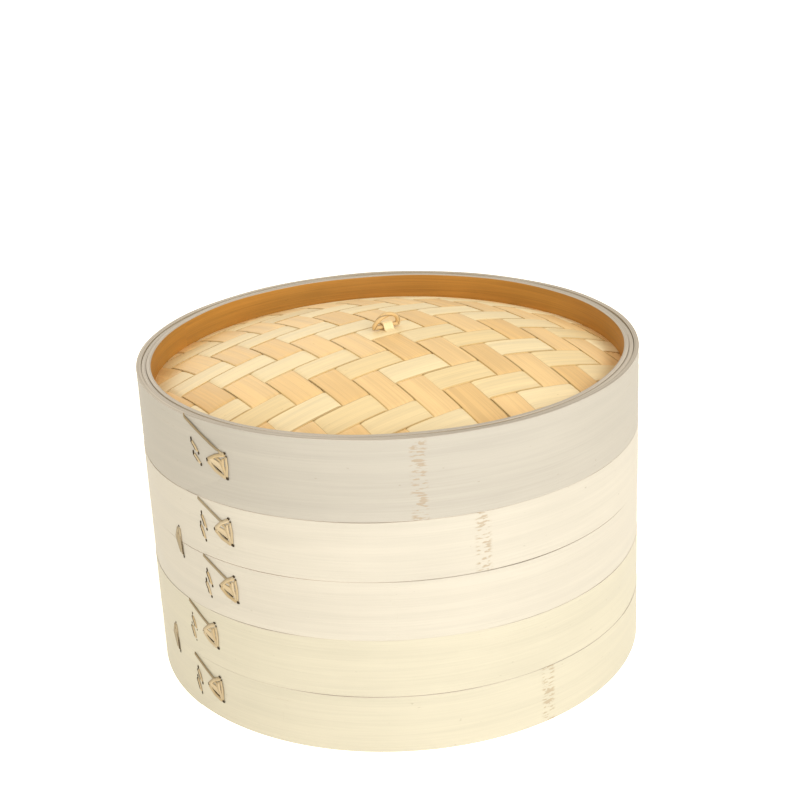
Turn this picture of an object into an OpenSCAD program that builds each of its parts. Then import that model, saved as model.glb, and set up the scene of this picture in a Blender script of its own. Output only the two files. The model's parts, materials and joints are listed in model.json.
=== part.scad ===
// Stacking steamer basket: two slotted-floor tiers and a woven lid.
// Millimetres, +Z up, origin at the centre of the lower tier's bottom edge.
// Both tiers are the same basket. Each one's collar enters the recess of the piece above it.

/* [Tier] */
// Outside radius of every outer band
outer_r = 127; // [110:1:150]
// Height of the outer band round the base
base_band_h = 30; // [28:1:40]
// Height of the outer band above the seam
upper_band_h = 30; // [24:1:45]
// Wall of an outer band
band_t = 2.4; // [2:0.1:3]
// Wall of a lining hoop behind a band
lining_t = 2.3; // [1.8:0.1:3]
// Height of the collar above the shoulder
collar_rise = 17; // [12:1:19]
// Wall of the collar hoop
collar_t = 2.6; // [2:0.1:3.5]
// Height of the lip hoop above the shoulder
lip_rise = 5.7; // [3:0.1:8]
// Turn of the lower tier about the vertical against the upper one
lower_turn = -7.5; // [-30:0.5:30]

/* [Floor] */
// Height of the board's underside above the seam
floor_rise = 12.5; // [8:0.5:16]
// Thickness of the slotted board
board_t = 3; // [3:0.5:5]
// Width of a slot
slot_w = 6; // [4:0.5:7]
// Distance from one row of slots to the next
slot_pitch = 16; // [12:0.1:18]
// Length of a slot in the middle column
mid_slot_len = 27; // [20:1:34]
// Bare strip between two columns of slots
bridge_w = 16.5; // [14:0.5:20]
// Radius inside which every slot ends
slot_field_r = 112; // [95:0.5:113]
// Direction of the slots in the upper tier
slot_az = -44; // [-60:0.5:0]
// Width of a batten under the board
batten_w = 10; // [8:0.5:13]

/* [Lid] */
// Height of the lid's outer band
lid_band_h = 40; // [36:1:46]
// Radius of the woven dome's upper face
dome_r = 340; // [320:5:400]
// Height of the dome's crown above the rim
crown_rise = 8; // [5:0.5:10]
// Thickness of the outer weave
outer_weave_t = 1.4; // [1:0.1:2]
// Thickness of the inner weave
inner_weave_t = 1.2; // [1:0.1:2]
// Wall of each hoop inside the rim
rim_hoop_t = 2.3; // [1.8:0.1:2.6]

/* [Handle] */
// Radius of the loop's arch, at the middle of the strand
loop_r = 7; // [5:0.1:8]
// Radius of the loop's strand
loop_strand_r = 1.4; // [0.8:0.1:1.4]
// Direction of the loop's straight foot
loop_az = 31; // [0:1:180]
// Lean of the arch from upright
loop_lean = 20; // [0:1:40]

/* [Hidden] */
$fn = 96;

// Colours
band_colour = [0.93, 0.89, 0.78];
lining_colour = [0.78, 0.58, 0.33];
collar_colour = [0.92, 0.86, 0.72];
board_colour = [0.70, 0.48, 0.22];
weave_colour = [0.93, 0.82, 0.60];
rim_colour = [0.80, 0.60, 0.34];
strand_colour = [0.76, 0.66, 0.46];

// Gap between two hoops of the same basket
ply_gap = 0.1;
// Gap round the lip hoop when another piece is stacked on it
stack_gap = 0.3;

// Radii, from the outside in
band_in_r = outer_r - band_t;
lining_out_r = band_in_r - ply_gap;
lining_in_r = lining_out_r - lining_t;
lip_out_r = lining_in_r - stack_gap;
lip_t = 1.3;
lip_in_r = lip_out_r - lip_t;
collar_out_r = lip_in_r - ply_gap;
collar_in_r = collar_out_r - collar_t;

// Levels inside a tier
tier_h = base_band_h + upper_band_h;
lining_lift = 1;
board_z = base_band_h + floor_rise;
board_top_z = board_z + board_t;
ledge_h = 7;
ledge_z = board_z - ledge_h;
ledge_in_r = lining_in_r - 1;
batten_h = 4.5;
batten_z = board_z - batten_h;
batten_offset = (mid_slot_len + bridge_w) / 2;
batten_end_r = lining_out_r - 0.5;
notch_clear = 0.05;
board_r = lining_out_r - 0.2;
// Rows of slots on each side of the middle line
board_rows = floor(sqrt(pow(slot_field_r, 2) - pow(mid_slot_len / 2, 2)) / slot_pitch + 0.5);
shortest_slot = 1.5 * slot_w;

// Levels of the stack
upper_tier_z = tier_h;
lid_z = 2 * tier_h;
rim_z = lid_z + lid_band_h;
crown_z = rim_z + crown_rise;
dome_centre_z = crown_z - dome_r;
clamp_gap = 0.05;
weave_edge_r = lining_out_r - 0.2;
rim_low_z = rim_z - 17;

// Lashings, each centred on an azimuth
lashing_az = -132.2;
band_lashing_h = 26;
lashing_edge_gap = 0.2;
strand_t = 0.7;
strand_sink = 0.3;

// Places on a lashing: distance round the band from its centre, level from the band's top edge
diagonal_start = [-9.7, -0.5];
knot_top = [9.6, -7.6];
knot_foot = [11.8, -19.3];
barb_start = [9.3, -7.1];
barb_tip = [1.5, -14];
return_start = [2, -14];
return_end = [11.2, -18.9];
first_stitch = [-7.5, -7.8];
stitch_run = [3, -7.8];
stitch_step = [-1.3, -5.8];
// How much wider and taller the lashing of the lid's band is
lid_lashing_stretch = [1.15, 1.35];

// Widths of its strands
diagonal_w = 1.4;
barb_w = 2.4;
upright_w = 2;
return_w = 1.6;
stitch_w = 1.5;

// Stitches across the bands' seam and on the lip hoop
seam_stitch_az = -145;
seam_stitch_half = 7.5;
seam_stitch_side = 1.1;
collar_stitch_az = -25.5;
collar_stitch_turn = 0.9;
collar_strand_w = 1.6;
collar_strand_low = 6;
groove_depth = 0.6;

// Handle
keeper_clear = 0.25;
keeper_t = 0.8;
keeper_len = 5.5;
keeper_foot = 6.5;
keeper_sink = 0.2;
loop_axis_z = crown_z + loop_strand_r + 0.2;

// Round wall between two radii, from one level to another
module hoop(in_r, out_r, low_z, high_z) {
    translate([0, 0, low_z])
        difference() {
            cylinder(r = out_r, h = high_z - low_z);
            translate([0, 0, -1])
                cylinder(r = in_r, h = high_z - low_z + 2);
        }
}

// Strand seen square on, between two places given as [distance round the face, level]
module strand(from, to, w) {
    run = to - from;
    translate(from)
        rotate(atan2(run[1], run[0]))
            translate([0, -w / 2])
                square([norm(run), w]);
}

// Presses a flat outline onto the outer face of a band, centred on an azimuth
module on_band(az, low_z, high_z) {
    intersection() {
        hoop(outer_r - strand_sink, outer_r + strand_t, low_z, high_z);
        rotate([0, 0, az])
            rotate([90, 0, 90])
                translate([0, 0, outer_r / 2])
                    linear_extrude(height = outer_r)
                        children();
    }
}

// Place on a lashing, stretched round the band and down it
function stretched(place, by) = [place[0] * by[0], place[1] * by[1]];

// Lashing of one band: a long diagonal strand, an arrow-shaped knot and two slanting stitches
module lashing(top_z, by = [1, 1]) {
    on_band(lashing_az, top_z - band_lashing_h * by[1], top_z - lashing_edge_gap)
        translate([0, top_z]) {
            strand(stretched(diagonal_start, by), stretched(knot_top, by), diagonal_w);
            strand(stretched(barb_start, by), stretched(barb_tip, by), barb_w);
            strand(stretched(knot_top, by), stretched(knot_foot, by), upright_w);
            strand(stretched(return_start, by), stretched(return_end, by), return_w);
            for (k = [0:1]) {
                start = first_stitch + k * stitch_step;
                strand(stretched(start, by), stretched(start + stitch_run, by), stitch_w);
            }
        }
}

// One slot of the floor, between two places along its row
module slot(from_x, to_x) {
    translate([from_x + slot_w / 2, 0])
        circle(d = slot_w, $fn = 32);
    translate([to_x - slot_w / 2, 0])
        circle(d = slot_w, $fn = 32);
    translate([from_x + slot_w / 2, -slot_w / 2])
        square([to_x - from_x - slot_w, slot_w]);
}

// Every slot of the floor
module slot_field() {
    inner_x = mid_slot_len / 2 + bridge_w;
    for (row = [0:board_rows - 1], side = [-1, 1]) {
        row_y = side * (row + 0.5) * slot_pitch;
        outer_x = sqrt(slot_field_r * slot_field_r - row_y * row_y);
        translate([0, row_y]) {
            slot(-mid_slot_len / 2, mid_slot_len / 2);
            if (outer_x - inner_x > shortest_slot) {
                slot(inner_x, outer_x);
                slot(-outer_x, -inner_x);
            }
        }
    }
}

// Both battens' outline, from above, with room round them
module batten_outline(clear) {
    for (side = [-1, 1])
        translate([side * batten_offset - batten_w / 2 - clear, -batten_end_r])
            square([batten_w + 2 * clear, 2 * batten_end_r]);
}

module base_band() {
    color(band_colour)
        hoop(band_in_r, outer_r, 0, base_band_h);
}

module upper_band() {
    color(band_colour)
        hoop(band_in_r, outer_r, base_band_h, tier_h);
}

// Hoop behind the base band, which reaches up over the seam
module base_lining() {
    color(lining_colour)
        hoop(lining_in_r, lining_out_r, lining_lift, ledge_z);
}

// Narrow hoop that carries the board, notched for the battens
module ledge_hoop() {
    color(lining_colour)
        difference() {
            hoop(ledge_in_r, lining_out_r, ledge_z, board_z);
            rotate([0, 0, slot_az])
                translate([0, 0, batten_z])
                    linear_extrude(height = batten_h + 1)
                        batten_outline(notch_clear);
        }
}

module floor_battens() {
    color(lining_colour)
        rotate([0, 0, slot_az])
            translate([0, 0, batten_z])
                linear_extrude(height = batten_h)
                    intersection() {
                        batten_outline(0);
                        circle(r = batten_end_r);
                    }
}

module floor_board() {
    color(board_colour)
        rotate([0, 0, slot_az])
            translate([0, 0, board_z])
                linear_extrude(height = board_t)
                    difference() {
                        circle(r = board_r);
                        slot_field();
                    }
}

module upper_lining() {
    color(lining_colour)
        hoop(lining_in_r, lining_out_r, board_top_z, tier_h);
}

// The two upright strands that close the lip hoop, between two radii
module collar_strands(in_r, out_r) {
    low_z = tier_h - collar_strand_low;
    high_z = tier_h + lip_rise - 1;
    for (side = [-1, 1])
        intersection() {
            hoop(in_r, out_r, low_z, high_z);
            rotate([0, 0, collar_stitch_az + collar_stitch_turn * side])
                translate([in_r / 2, -collar_strand_w / 2, low_z])
                    cube([in_r, collar_strand_w, high_z - low_z]);
        }
}

module lip_hoop() {
    color(collar_colour)
        difference() {
            hoop(lip_in_r, lip_out_r, board_top_z, tier_h + lip_rise);
            collar_strands(lip_out_r - groove_depth, lip_out_r + 1);
        }
}

module collar_hoop() {
    color(collar_colour)
        hoop(collar_in_r, collar_out_r, board_top_z, tier_h + collar_rise);
}

module base_lashing() {
    color(strand_colour)
        lashing(base_band_h);
}

module upper_lashing() {
    color(strand_colour)
        lashing(tier_h);
}

// Stitch that ties the two outer bands across their seam
module seam_stitch() {
    high_z = base_band_h + seam_stitch_half;
    low_z = base_band_h - seam_stitch_half;
    color(strand_colour)
        on_band(seam_stitch_az, low_z, high_z)
            for (side = [-1, 1])
                strand([side * seam_stitch_side, high_z], [side * seam_stitch_side, low_z], stitch_w);
}

module collar_stitch() {
    color(strand_colour)
        collar_strands(lip_out_r - groove_depth, lip_out_r);
}

module lid_band() {
    color(band_colour)
        hoop(band_in_r, outer_r, lid_z, rim_z);
}

// Everything under one face of the dome, given the depth of that face below the crown
module below_dome(depth) {
    translate([0, 0, dome_centre_z])
        sphere(r = dome_r - depth, $fn = 180);
}

module lid_skirt_hoop() {
    color(lining_colour)
        intersection() {
            hoop(lining_in_r, lining_out_r, lid_z, rim_z);
            below_dome(outer_weave_t + inner_weave_t + 2 * clamp_gap);
        }
}

module lid_filler_hoop() {
    color(rim_colour)
        difference() {
            hoop(lining_out_r - rim_hoop_t, lining_out_r, rim_low_z, rim_z);
            below_dome(-clamp_gap);
        }
}

module lid_rim_hoop() {
    rim_out_r = lining_out_r - rim_hoop_t - ply_gap;
    color(rim_colour)
        difference() {
            hoop(rim_out_r - rim_hoop_t, rim_out_r, rim_low_z, rim_z);
            below_dome(-clamp_gap);
        }
}

// Shell of the dome between two depths below the crown
module dome_shell(top_depth, low_depth) {
    intersection() {
        difference() {
            below_dome(top_depth);
            below_dome(low_depth);
        }
        translate([0, 0, lid_z])
            cylinder(r = weave_edge_r, h = lid_band_h + crown_rise);
    }
}

module lid_outer_weave() {
    color(weave_colour)
        dome_shell(0, outer_weave_t);
}

module lid_inner_weave() {
    color(weave_colour)
        dome_shell(outer_weave_t + clamp_gap, outer_weave_t + clamp_gap + inner_weave_t);
}

module lid_lashing() {
    color(strand_colour)
        lashing(rim_z, lid_lashing_stretch);
}

// Places the handle's parts: their own X runs along the loop's straight foot
module on_loop_axis() {
    translate([0, 0, loop_axis_z])
        rotate([0, 0, loop_az])
            children();
}

// Strap over the loop's foot, with a round tunnel that the foot turns in
module handle_keeper() {
    tunnel_r = loop_strand_r + keeper_clear;
    strap_r = tunnel_r + keeper_t;
    foot_z = crown_z - loop_axis_z - keeper_sink;
    color(weave_colour)
        on_loop_axis()
            rotate([90, 0, 90])
                translate([0, 0, -keeper_len / 2])
                    linear_extrude(height = keeper_len)
                        difference() {
                            union() {
                                circle(r = strap_r, $fn = 48);
                                translate([-keeper_foot, foot_z])
                                    square([2 * keeper_foot, keeper_t + keeper_sink]);
                            }
                            circle(r = tunnel_r, $fn = 48);
                            translate([-strap_r - 1, foot_z - 2])
                                square([2 * strap_r + 2, 2]);
                            translate([-tunnel_r, foot_z - 1])
                                square([2 * tunnel_r, -foot_z + 1]);
                        }
}

// Rattan loop: a straight foot under the keeper and an arch over it
module handle_loop() {
    color(strand_colour)
        on_loop_axis()
            rotate([loop_lean, 0, 0]) {
                rotate([90, 0, 0])
                    rotate_extrude(angle = 180)
                        translate([loop_r, 0])
                            circle(r = loop_strand_r, $fn = 32);
                rotate([0, 90, 0])
                    translate([0, 0, -loop_r])
                        cylinder(r = loop_strand_r, h = 2 * loop_r, $fn = 32);
                for (side = [-1, 1])
                    translate([side * loop_r, 0, 0])
                        sphere(r = loop_strand_r, $fn = 32);
            }
}

// A sub-part of the lower tier, in its place
module lower() {
    rotate([0, 0, lower_turn])
        children();
}

// A sub-part of the upper tier, in its place
module upper() {
    translate([0, 0, upper_tier_z])
        children();
}

lower() base_band();  // lower_base_band
lower() upper_band();  // lower_upper_band
lower() base_lining();  // lower_base_lining
lower() ledge_hoop();  // lower_ledge_hoop
lower() floor_battens();  // lower_floor_battens
lower() floor_board();  // lower_floor_board
lower() upper_lining();  // lower_upper_lining
lower() lip_hoop();  // lower_lip_hoop
lower() collar_hoop();  // lower_collar_hoop
lower() base_lashing();  // lower_base_lashing
lower() upper_lashing();  // lower_upper_lashing
lower() seam_stitch();  // lower_seam_stitch
lower() collar_stitch();  // lower_collar_stitch
upper() base_band();  // upper_base_band
upper() upper_band();  // upper_upper_band
upper() base_lining();  // upper_base_lining
upper() ledge_hoop();  // upper_ledge_hoop
upper() floor_battens();  // upper_floor_battens
upper() floor_board();  // upper_floor_board
upper() upper_lining();  // upper_upper_lining
upper() lip_hoop();  // upper_lip_hoop
upper() collar_hoop();  // upper_collar_hoop
upper() base_lashing();  // upper_base_lashing
upper() upper_lashing();  // upper_upper_lashing
upper() seam_stitch();  // upper_seam_stitch
upper() collar_stitch();  // upper_collar_stitch
lid_band();
lid_skirt_hoop();
lid_filler_hoop();
lid_rim_hoop();
lid_outer_weave();
lid_inner_weave();
lid_lashing();
handle_keeper();
handle_loop();
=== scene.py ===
import json
import math
import random

import bpy
import numpy as np
from mathutils import Matrix, Vector


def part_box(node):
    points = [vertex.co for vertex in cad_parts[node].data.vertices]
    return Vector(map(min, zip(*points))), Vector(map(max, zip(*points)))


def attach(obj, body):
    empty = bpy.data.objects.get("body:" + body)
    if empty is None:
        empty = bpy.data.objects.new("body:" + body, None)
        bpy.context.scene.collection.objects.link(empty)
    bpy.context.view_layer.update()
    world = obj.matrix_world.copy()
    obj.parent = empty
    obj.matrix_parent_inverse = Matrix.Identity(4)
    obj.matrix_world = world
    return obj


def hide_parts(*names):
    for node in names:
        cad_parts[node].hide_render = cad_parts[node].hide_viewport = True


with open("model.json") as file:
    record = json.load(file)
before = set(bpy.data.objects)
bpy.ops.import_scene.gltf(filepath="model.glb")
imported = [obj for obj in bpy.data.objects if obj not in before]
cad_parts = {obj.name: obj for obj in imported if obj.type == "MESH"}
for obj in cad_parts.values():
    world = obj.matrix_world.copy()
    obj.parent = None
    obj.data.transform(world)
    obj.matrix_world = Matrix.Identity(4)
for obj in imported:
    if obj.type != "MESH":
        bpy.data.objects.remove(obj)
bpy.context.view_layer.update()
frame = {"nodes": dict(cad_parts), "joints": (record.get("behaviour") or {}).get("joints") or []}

# A bamboo steamer: two bent-hoop tiers with slotted floors, and a lid with a woven dome.
# Everything is in metres, in the CAD's frame. Angles are in radians where they aren't named degrees.
MM = 0.001
TIERS = ("lower", "upper")

# ---------------------------------------------------------------- sizes, from the frame

BAND_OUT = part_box("lower_base_band")[1].x
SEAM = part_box("lower_base_band")[1].z
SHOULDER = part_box("lower_upper_band")[1].z
LIP_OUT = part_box("lower_lip_hoop")[1].x
LIP_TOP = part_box("lower_lip_hoop")[1].z
COLLAR_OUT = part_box("lower_collar_hoop")[1].x
COLLAR_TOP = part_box("lower_collar_hoop")[1].z
LINING_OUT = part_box("lower_upper_lining")[1].x
LINING_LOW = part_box("lower_base_lining")[0].z
LEDGE_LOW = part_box("lower_ledge_hoop")[0].z
BOARD_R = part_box("lower_floor_board")[1].x
BOARD_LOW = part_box("lower_floor_board")[0].z
BOARD_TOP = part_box("lower_floor_board")[1].z
LID_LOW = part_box("lid_band")[0].z
RIM_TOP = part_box("lid_band")[1].z
RIM_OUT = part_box("lid_rim_hoop")[1].x
RIM_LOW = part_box("lid_rim_hoop")[0].z
SKIRT_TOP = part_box("lid_skirt_hoop")[1].z
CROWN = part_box("lid_outer_weave")[1].z
LIFTS = {"lower": 0.0, "upper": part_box("upper_base_band")[0].z}
LOOP_AXIS_Z = next(j for j in frame["joints"] if j["name"] == "handle_flop")["pos_m"][2]

# ---------------------------------------------------------------- sizes, as in the CAD

BAND_WALL = 2.4 * MM
LINING_WALL = 2.3 * MM
LIP_WALL = 1.3 * MM
COLLAR_WALL = 2.6 * MM
RIM_WALL = 2.3 * MM

# Turn of each tier, and direction of its floor's slots before that turn
TURNS = {"lower": math.radians(-7.5), "upper": 0.0}
SLOT_AZ = math.radians(-44)
SLOT_W = 6 * MM
SLOT_PITCH = 16 * MM
MID_SLOT = 27 * MM
BRIDGE = 16.5 * MM
SLOT_FIELD_R = 112 * MM
SLOT_ROWS = int(math.sqrt(SLOT_FIELD_R ** 2 - (MID_SLOT / 2) ** 2) / SLOT_PITCH + 0.5)
SHORTEST_SLOT = 1.5 * SLOT_W
BATTEN_W = 10 * MM
BATTEN_H = 4.5 * MM

# Where the lashings and stitches are centred, before the tier's turn
LASHING_AZ = math.radians(-132.2)
SEAM_STITCH_AZ = math.radians(-145)
COLLAR_STITCH_AZ = math.radians(-25.5)

DOME_R = 340 * MM
WEAVE_R = 121.6 * MM
WEAVE_AZ = math.radians(31)

LOOP_R = 7 * MM
LOOP_STRAND_R = 1.4 * MM
LOOP_AZ = math.radians(31)
LOOP_LEAN = math.radians(20)

rng = random.Random(7)


# ---------------------------------------------------------------- meshes

def add_attribute(mesh, name, values, kind="FLOAT"):
    """One attribute on the mesh's points, for a material to read."""
    layer = mesh.attributes.new(name, kind, "POINT")
    label = "value" if kind == "FLOAT" else "vector"
    layer.data.foreach_set(label, np.asarray(values, dtype=np.float32).ravel())


def make_piece(name, verts, faces, body, nodes, material, grain, zone, tone=None, smooth=True):
    """One piece from plain lists.

    grain is each point's place along, across and through the strip, zone is how far it is a cut edge and an
    inner face, and tone is the strip's own shade; zone's edge also carries painted shade on strands and the
    loop, and painted light on slot walls.
    """
    mesh = bpy.data.meshes.new(name)
    mesh.from_pydata([tuple(v) for v in verts], [], faces)
    mesh.update()
    add_attribute(mesh, "grain", grain, "FLOAT_VECTOR")
    add_attribute(mesh, "zone", zone, "FLOAT_VECTOR")
    add_attribute(mesh, "tone", np.full(len(verts), 0.5) if tone is None else tone)
    mesh.polygons.foreach_set("use_smooth", [smooth] * len(mesh.polygons))
    mesh.set_sharp_from_angle(angle=math.radians(50))
    mesh.materials.append(material)
    piece = bpy.data.objects.new(name, mesh)
    bpy.context.scene.collection.objects.link(piece)
    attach(piece, body)
    if nodes:
        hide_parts(*nodes)
    return piece


CORNER_R = 0.35 * MM
CORNER_HOLD = 0.35 * MM
LEVEL_ROWS = 8
CORNER_ROWS = 3


def rounded_section(in_r, out_r, low, high, corner):
    """Closed outline of a hoop's wall as (r, z, edge, inner) rows, outer face first, going up."""
    corner = min(corner, 0.3 * (out_r - in_r))
    margin = corner + CORNER_HOLD
    inside = np.linspace(low + margin, high - margin, LEVEL_ROWS)
    levels = [low + corner, *inside, high - corner]
    section = [(out_r, z, 0.0, 0.0) for z in levels]
    section += arc_rows(out_r - corner, high - corner, corner, 0, 90, 0.0)
    section += arc_rows(in_r + corner, high - corner, corner, 90, 180, 1.0)
    section += [(in_r, z, 0.0, 1.0) for z in reversed(levels)]
    section += arc_rows(in_r + corner, low + corner, corner, 180, 270, 1.0)
    section += arc_rows(out_r - corner, low + corner, corner, 270, 360, 0.0)
    return section


def arc_rows(r, z, corner, start, end, inner):
    """The rows of one rounded corner, without the end point that a face has too."""
    rows = []
    for angle in np.linspace(start, end, CORNER_ROWS + 1):
        a = math.radians(angle)
        if abs(math.sin(a)) < 0.01:
            continue
        rows.append((r + corner * math.cos(a), z + corner * math.sin(a), 1.0, inner))
    return rows


def section_sides(count):
    """The outline's two matching halves, outer and inner, from its lowest row to its highest."""
    level_count = count // 2 - 2 * CORNER_ROWS
    outside = [*range(count - CORNER_ROWS, count), *range(level_count + CORNER_ROWS)]
    inside = [*range(count - CORNER_ROWS - 1, level_count + CORNER_ROWS - 1, -1)]
    return outside, inside


# A strip's end: where its point starts and stops, as fractions of the height, and how far each side
# falls back below and above it
SQUARE_END = (0.0, 1.0, 0.0, 0.0)
TIER_END = (0.36, 0.627, 19 * MM, 20.7 * MM)
LID_END = (0.36, 0.63, 30.5 * MM, 26.8 * MM)
END_FADE = 14

HOOP_STATIONS = 300
FACE_WOBBLE = 0.1 * MM
EDGE_WOBBLE = 0.12 * MM


def end_shape(f, end):
    """How far a strip's pointed end falls back at a fraction f of its height."""
    low_tip, high_tip, low_reach, high_reach = end
    if f > high_tip:
        return high_reach * (f - high_tip) / (1 - high_tip)
    if f < low_tip:
        return low_reach * (low_tip - f) / low_tip
    return 0.0


def hoop(name, body, node, slot, material, out_r, wall, low, high, end_az, lift=0.0, turn=0.0,
         end=SQUARE_END, step=0.0, marks=(), corner=CORNER_R):
    """A flat strip bent into a hoop. Its pointed end lies on its own start and stands proud by step."""
    in_r = out_r - wall
    section = rounded_section(in_r, out_r, low, high, corner)
    # Five phases are used. The sixth draw keeps the later draws as they are.
    phases = [rng.uniform(0, 2 * math.pi) for _ in range(6)]
    tip_az = end_az + turn
    verts, grain, zone = [], [], []
    for k in range(HOOP_STATIONS + 1):
        t = k / HOOP_STATIONS
        for r, z, edge, inner in section:
            f = (z - low) / (high - low)
            az = tip_az - end_shape(f, end) / out_r - 2 * math.pi * t
            ripple = math.sin(2 * az + phases[0]) + 0.5 * math.sin(3 * az + phases[1])
            ripple += 0.25 * math.sin(8 * az + phases[2])
            rise = math.sin(5 * az + phases[3]) + 0.6 * math.sin(13 * az + phases[4])
            top = max(0.0, 2 * f - 1)
            proud = step * math.exp(-t * END_FADE) if inner < 0.5 else 0.0
            rr = r + FACE_WOBBLE * ripple + proud
            zz = z + EDGE_WOBBLE * rise * top + lift
            verts.append((rr * math.cos(az), rr * math.sin(az), zz))
            grain.append((-az * out_r, z, r - in_r))
            zone.append((edge, inner, f))
    m = len(section)
    faces = []
    for k in range(HOOP_STATIONS):
        for i in range(m):
            a, b = k * m + i, k * m + (i + 1) % m
            faces.append((a, b, b + m, a + m))
    outside, inside = section_sides(m)
    for at, flip in ((0, False), (HOOP_STATIONS * m, True)):
        for a, b, c, d in zip(outside, outside[1:], inside[1:], inside):
            quad = (at + a, at + b, at + c, at + d)
            faces.append(quad[::-1] if flip else quad)
    piece = make_piece(name, verts, faces, body, [node], material, grain, zone)
    near = np.full(len(verts), 1.0)
    round_trip = 2 * math.pi * out_r
    for mark_az in marks:
        along = np.array([-(math.radians(mark_az) + turn) * out_r - g[0] for g in grain])
        along = (along + round_trip / 2) % round_trip - round_trip / 2
        near = np.where(np.abs(along) < np.abs(near), along, near)
    add_attribute(piece.data, "mark", near)


def tube_faces(rings, sides, start):
    """Walls and ends of a tube of rings, from the point number start."""
    faces = [(start + k * sides + i, start + (k + 1) * sides + i,
              start + (k + 1) * sides + (i + 1) % sides, start + k * sides + (i + 1) % sides)
             for k in range(rings - 1) for i in range(sides)]
    faces.append(tuple(start + i for i in range(sides)))
    faces.append(tuple(start + (rings - 1) * sides + i for i in reversed(range(sides))))
    return faces


# ---------------------------------------------------------------- material helpers

def new_material(name):
    """An empty node material, with its tree and shader."""
    material = bpy.data.materials.new(name)
    material.use_nodes = True
    return material, material.node_tree, material.node_tree.nodes["Principled BSDF"]


def attribute(tree, name, output="Fac"):
    node = tree.nodes.new("ShaderNodeAttribute")
    node.attribute_name = name
    return node.outputs[output]


def split_xyz(tree, vector):
    node = tree.nodes.new("ShaderNodeSeparateXYZ")
    tree.links.new(vector, node.inputs[0])
    return node.outputs


def noise(tree, vector, scale, detail, roughness, shift=0.0):
    """Noise over a vector that is stretched by scale, from 0 to 1."""
    mapping = tree.nodes.new("ShaderNodeMapping")
    mapping.inputs["Scale"].default_value = scale
    mapping.inputs["Location"].default_value = (shift, shift * 1.7, shift * 2.3)
    tree.links.new(vector, mapping.inputs["Vector"])
    node = tree.nodes.new("ShaderNodeTexNoise")
    node.inputs["Scale"].default_value = 1.0
    node.inputs["Detail"].default_value = detail
    node.inputs["Roughness"].default_value = roughness
    tree.links.new(mapping.outputs["Vector"], node.inputs["Vector"])
    return node.outputs["Fac"]


def ramp(tree, value, low, high, out_low=0.0, out_high=1.0):
    """Value between low and high, taken smoothly to between out_low and out_high."""
    node = tree.nodes.new("ShaderNodeMapRange")
    node.interpolation_type = "SMOOTHSTEP"
    tree.links.new(value, node.inputs["Value"])
    node.inputs["From Min"].default_value = low
    node.inputs["From Max"].default_value = high
    node.inputs["To Min"].default_value = out_low
    node.inputs["To Max"].default_value = out_high
    return node.outputs["Result"]


def calc(tree, operation, *values):
    """One sum over sockets or numbers."""
    node = tree.nodes.new("ShaderNodeMath")
    node.operation = operation
    for socket, value in zip(node.inputs, values):
        if isinstance(value, (int, float)):
            socket.default_value = value
        else:
            tree.links.new(value, socket)
    return node.outputs["Value"]


def blend_colour(tree, factor, a, b, mode="MIX"):
    """Two colours, sockets or triples, mixed by a factor."""
    node = tree.nodes.new("ShaderNodeMix")
    node.data_type = "RGBA"
    node.blend_type = mode
    if isinstance(factor, (int, float)):
        node.inputs["Factor"].default_value = factor
    else:
        tree.links.new(factor, node.inputs["Factor"])
    colours = [s for s in node.inputs if s.type == "RGBA"]
    for socket, value in zip(colours, (a, b)):
        if isinstance(value, tuple):
            socket.default_value = (*value, 1.0)
        else:
            tree.links.new(value, socket)
    return [s for s in node.outputs if s.type == "RGBA"][0]


def shade(colour, by):
    return tuple(min(1.0, c * by) for c in colour)


BUMP_DEPTH = 0.6 * MM


def add_bump(tree, shader, height, strength):
    bumps = tree.nodes.new("ShaderNodeBump")
    bumps.inputs["Strength"].default_value = strength
    bumps.inputs["Distance"].default_value = BUMP_DEPTH
    tree.links.new(height, bumps.inputs["Height"])
    tree.links.new(bumps.outputs["Normal"], shader.inputs["Normal"])


# ---------------------------------------------------------------- bamboo

# Stretch of each noise along, across and through a strip, with its detail and roughness
FIBRES = ((22, 1500, 1500), 5, 0.6)
STREAKS = ((6, 210, 210), 3, 0.5)
PATCHES = ((16, 45, 45), 3, 0.5)
LAYERS = ((9, 600, 2600), 3, 0.6)
SPECKS = ((260, 700, 700), 2, 0.5)
DASHES = ((230, 900, 900), 2, 0.5)
FIBRE_SHARE, STREAK_SHARE, PATCH_SHARE = 0.40, 0.35, 0.25
NODE_TAN = (0.31, 0.225, 0.135)
# Half width of a node's column of dashes, where it starts to fade and where it ends, and of its ridge
COLUMN_FADE = (2.2 * MM, 4.8 * MM)
RIDGE_HALF_W = 4 * MM


def node_marks(tree, grain, inner, shift, colour, height):
    """Colour and height with a column of brown dashes, and a low ridge, at each node of the bamboo."""
    near = calc(tree, "ABSOLUTE", attribute(tree, "mark"))
    column = ramp(tree, near, *COLUMN_FADE, 1.0, 0.0)
    dashes = ramp(tree, noise(tree, grain, *DASHES, shift), 0.50, 0.60)
    ridge = ramp(tree, near, 0.0, RIDGE_HALF_W, 1.0, 0.0)
    mark = calc(tree, "MULTIPLY", column, dashes)
    outside = calc(tree, "SUBTRACT", 1.0, inner)
    shown = calc(tree, "MULTIPLY", calc(tree, "MULTIPLY", mark, outside), 0.6)
    colour = blend_colour(tree, shown, colour, NODE_TAN)
    height = calc(tree, "MULTIPLY_ADD", mark, -2.2, height)
    return colour, calc(tree, "MULTIPLY_ADD", ridge, 0.9, height)


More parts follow.
